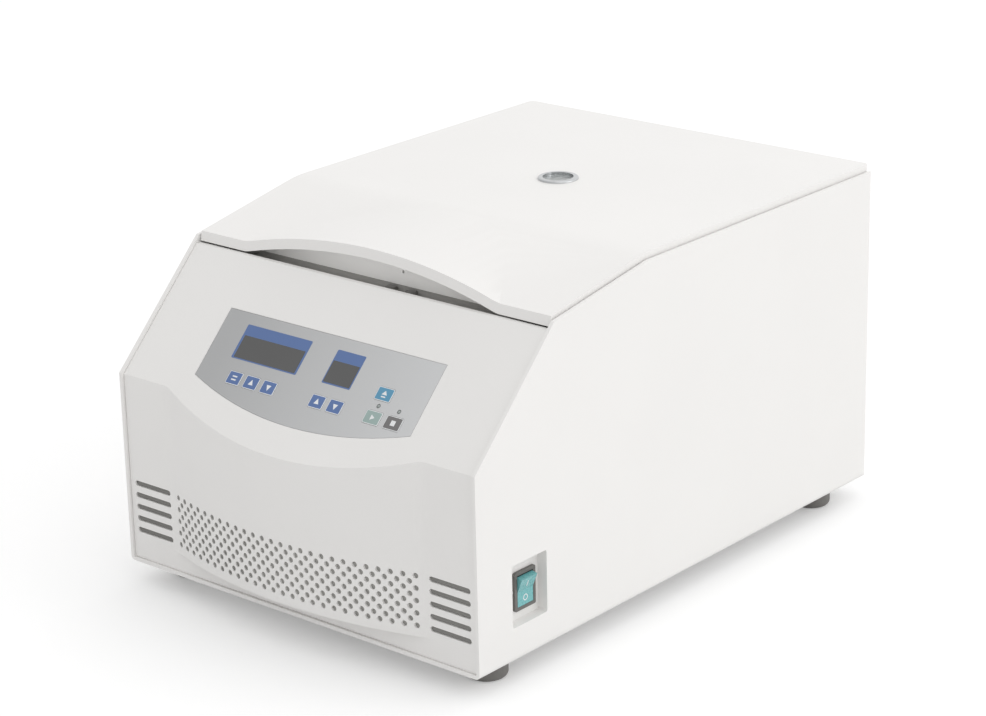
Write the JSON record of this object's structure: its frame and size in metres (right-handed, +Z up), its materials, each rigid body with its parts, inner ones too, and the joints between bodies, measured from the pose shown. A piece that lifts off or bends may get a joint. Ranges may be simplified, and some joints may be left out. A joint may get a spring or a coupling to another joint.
{
  "type": "microplate centrifuge",
  "caption": "Benchtop microplate centrifuge: hinged lid over a swing-out rotor, sloped membrane keypad, bulged ventilated front and a side power switch.",
  "frame": {"origin": "centre of the box at the resting face of the feet", "axes": "+X to the right of the front panel, +Y from the front panel to the rear, +Z up"},
  "size_m": [0.37, 0.535, 0.2952],
  "materials": {
    "painted": "satin white paint",
    "moulded": "fine moulded texture",
    "membrane": "printed film",
    "key_blue": "printed film",
    "key_open": "printed film",
    "key_teal": "printed film",
    "key_dark": "printed film",
    "window": "smoked, gloss",
    "lamp": "clear tinted",
    "rubber": "matt",
    "dark_plastic": "fine moulded texture",
    "rocker": "gloss",
    "board": "solder mask",
    "steel": "brushed",
    "zinc": "zinc plated",
    "aluminium": "anodised",
    "chrome": "bright",
    "lens": "clear"
  },
  "bodies": {
    "cabinet": {"case_shell": "painted", "base_plate": "zinc", "front_panel": "moulded", "top_deck": "painted", "guard_ring": "zinc", "rubber_feet": "rubber", "foot_screws": "steel", "keypad": "membrane", "speed_window": "window", "time_window": "window", "status_lamps": "lamp", "control_board": "board", "display_modules": "window", "switch_housing": "dark_plastic", "power_board": "board", "power_inlet": "dark_plastic", "fuse_holders": "dark_plastic", "fan_frame": "dark_plastic", "fan_guard": "steel", "motor_mounts": "rubber", "motor_plate": "zinc", "drive_motor": "zinc", "motor_screws": "steel", "bowl": "steel", "bowl_boot": "rubber", "bowl_gasket": "rubber", "hinge_brackets": "zinc", "hinge_pins": "steel", "lock_housing": "zinc", "lock_solenoid": "dark_plastic", "deck_screws": "steel"},
    "lid": {"lid_shell": "painted", "lid_liner": "moulded", "sight_ring": "chrome", "sight_lens": "lens", "lid_hook": "steel", "hinge_leaves": "zinc"},
    "rotor": {"drive_shaft": "steel", "rotor_yoke": "steel", "rotor_nut": "dark_plastic"},
    "bucket_left": {"bucket_b": "aluminium", "trunnions_b": "steel"},
    "bucket_right": {"bucket_a": "aluminium", "trunnions_a": "steel"},
    "rocker": {"switch_rocker": "rocker"},
    "bolt": {"lock_bolt": "steel"},
    "fan": {"fan_impeller": "dark_plastic"},
    "mode_key": {"mode_key": "key_blue"},
    "speed_up_key": {"speed_up_key": "key_blue"},
    "speed_down_key": {"speed_down_key": "key_blue"},
    "time_up_key": {"time_up_key": "key_blue"},
    "time_down_key": {"time_down_key": "key_blue"},
    "open_key": {"open_key": "key_open"},
    "start_key": {"start_key": "key_teal"},
    "stop_key": {"stop_key": "key_dark"}
  },
  "joints": [
    {"name": "lid_hinge", "type": "hinge", "parent": "cabinet", "child": "lid", "pos_m": [0, 0.2475, 0.28], "axis": [-1, 0, 0], "range_deg": [0, 75]},
    {"name": "rotor_spin", "type": "hinge", "parent": "cabinet", "child": "rotor", "pos_m": [0, 0.0765, 0.202], "axis": [0, 0, 1], "continuous": true},
    {"name": "bucket_right_swing", "type": "hinge", "parent": "rotor", "child": "bucket_right", "pos_m": [0.078, 0.0765, 0.202], "axis": [0, -1, 0], "range_deg": [0, 90]},
    {"name": "bucket_left_swing", "type": "hinge", "parent": "rotor", "child": "bucket_left", "pos_m": [-0.078, 0.0765, 0.202], "axis": [0, 1, 0], "range_deg": [0, 90]},
    {"name": "rocker_tilt", "type": "hinge", "parent": "cabinet", "child": "rocker", "pos_m": [0.1755, -0.187, 0.0685], "axis": [0, -1, 0], "range_deg": [0, 22]},
    {"name": "lock_bolt_slide", "type": "slide", "parent": "cabinet", "child": "bolt", "axis": [-1, 0, 0], "range_m": [0, 0.012], "stiffness_N_per_m": 150},
    {"name": "fan_spin", "type": "hinge", "parent": "cabinet", "child": "fan", "pos_m": [0.07, 0.245, 0.076], "axis": [0, 1, 0], "continuous": true},
    {"name": "mode_press", "type": "slide", "parent": "cabinet", "child": "mode_key", "axis": [0, 0.7071, -0.7071], "range_m": [0, 0.0004], "stiffness_N_per_m": 1500},
    {"name": "speed_up_press", "type": "slide", "parent": "cabinet", "child": "speed_up_key", "axis": [0, 0.7071, -0.7071], "range_m": [0, 0.0004], "stiffness_N_per_m": 1500},
    {"name": "speed_down_press", "type": "slide", "parent": "cabinet", "child": "speed_down_key", "axis": [0, 0.7071, -0.7071], "range_m": [0, 0.0004], "stiffness_N_per_m": 1500},
    {"name": "time_up_press", "type": "slide", "parent": "cabinet", "child": "time_up_key", "axis": [0, 0.7071, -0.7071], "range_m": [0, 0.0004], "stiffness_N_per_m": 1500},
    {"name": "time_down_press", "type": "slide", "parent": "cabinet", "child": "time_down_key", "axis": [0, 0.7071, -0.7071], "range_m": [0, 0.0004], "stiffness_N_per_m": 1500},
    {"name": "open_press", "type": "slide", "parent": "cabinet", "child": "open_key", "axis": [0, 0.7071, -0.7071], "range_m": [0, 0.0004], "stiffness_N_per_m": 1500},
    {"name": "start_press", "type": "slide", "parent": "cabinet", "child": "start_key", "axis": [0, 0.7071, -0.7071], "range_m": [0, 0.0004], "stiffness_N_per_m": 1500},
    {"name": "stop_press", "type": "slide", "parent": "cabinet", "child": "stop_key", "axis": [0, 0.7071, -0.7071], "range_m": [0, 0.0004], "stiffness_N_per_m": 1500}
  ]
}
